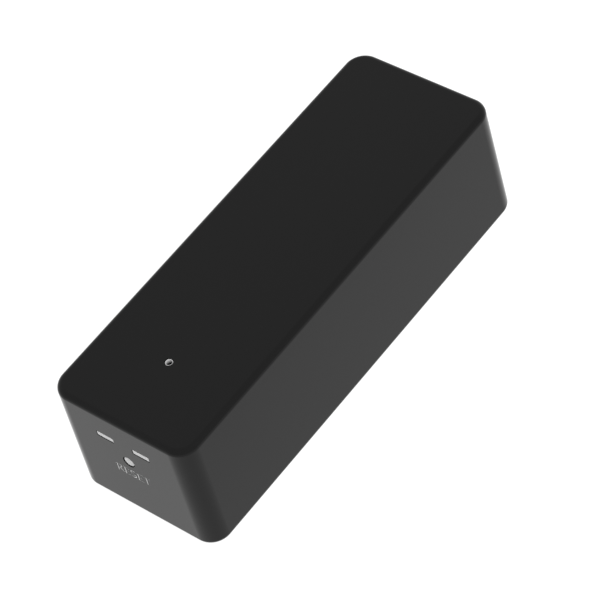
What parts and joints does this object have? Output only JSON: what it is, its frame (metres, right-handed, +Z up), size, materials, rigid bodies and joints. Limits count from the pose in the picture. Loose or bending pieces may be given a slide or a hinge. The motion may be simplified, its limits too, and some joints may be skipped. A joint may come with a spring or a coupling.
{
  "type": "smart infrared blaster",
  "caption": "Long black box that sends infrared remote-control signals, with light windows and a sprung reset button in one end and a power socket in the other.",
  "frame": {"origin": "centre of the whole box, on the plane the feet stand on", "axes": "+X along the case from the reset end to the socket end, +Z up through the roof"},
  "size_m": [0.0644, 0.0226, 0.0194],
  "materials": {
    "case_gloss": "smooth black moulding that lets infrared light through",
    "base_matte": "fine spark-eroded texture, black",
    "foot_rubber": "soft dark grey rubber",
    "screw_steel": "zinc plated",
    "button_grey": "light grey moulding",
    "window_milky": "milky light grey, diffusing",
    "pipe_clear": "milky moulding with a bored tip",
    "board_green": "solder mask over glass laminate",
    "board_blue": "solder mask over glass laminate",
    "moulded_black": "moulded component body",
    "stamped_steel": "stamped and tinned sheet",
    "socket_steel": "drawn and plated sheet",
    "spring_brass": "spring sheet",
    "tinned_pins": "tinned wire and strip",
    "led_white": "white package with a pale phosphor",
    "receiver_dark": "dark infrared filter epoxy",
    "emitter_lens": "tinted epoxy lens",
    "copper_trace": "plated copper foil",
    "contact_gold": "gold plated",
    "can_aluminium": "drawn can",
    "chip_black": "glazed chip with plated ends",
    "chip_tan": "ceramic chip with plated ends"
  },
  "bodies": {
    "case": {"housing": "case_gloss", "base_cover": "base_matte", "rubber_feet": "foot_rubber", "case_screws": "screw_steel", "slot_light_guide": "window_milky", "roof_light_pipe": "pipe_clear", "main_board": "board_green", "switch_body": "moulded_black", "switch_cover": "stamped_steel", "switch_dome": "spring_brass", "switch_terminals": "tinned_pins", "status_led": "led_white", "slot_led_left": "led_white", "slot_led_right": "led_white", "ir_receiver": "receiver_dark", "ir_receiver_leads": "tinned_pins", "ir_led_1": "emitter_lens", "ir_led_2": "emitter_lens", "ir_led_3": "emitter_lens", "ir_led_4": "emitter_lens", "ir_led_5": "emitter_lens", "ir_led_6": "emitter_lens", "ir_led_leads": "tinned_pins", "radio_board": "board_blue", "radio_shield": "stamped_steel", "radio_chip": "moulded_black", "radio_crystal": "stamped_steel", "radio_antenna": "copper_trace", "usb_shell": "socket_steel", "usb_tongue": "moulded_black", "usb_contacts": "contact_gold", "regulator": "moulded_black", "regulator_leads": "tinned_pins", "capacitor_can": "can_aluminium", "capacitor_base": "moulded_black", "driver_transistors": "moulded_black", "transistor_leads": "tinned_pins", "chip_resistors": "chip_black", "chip_capacitors": "chip_tan"},
    "reset_button": {"reset_button": "button_grey", "switch_plunger": "moulded_black"}
  },
  "joints": [
    {"name": "reset_press", "type": "slide", "parent": "case", "child": "reset_button", "axis": [1, 0, 0], "range_m": [0, 0.0003], "stiffness_N_per_m": 5000}
  ]
}
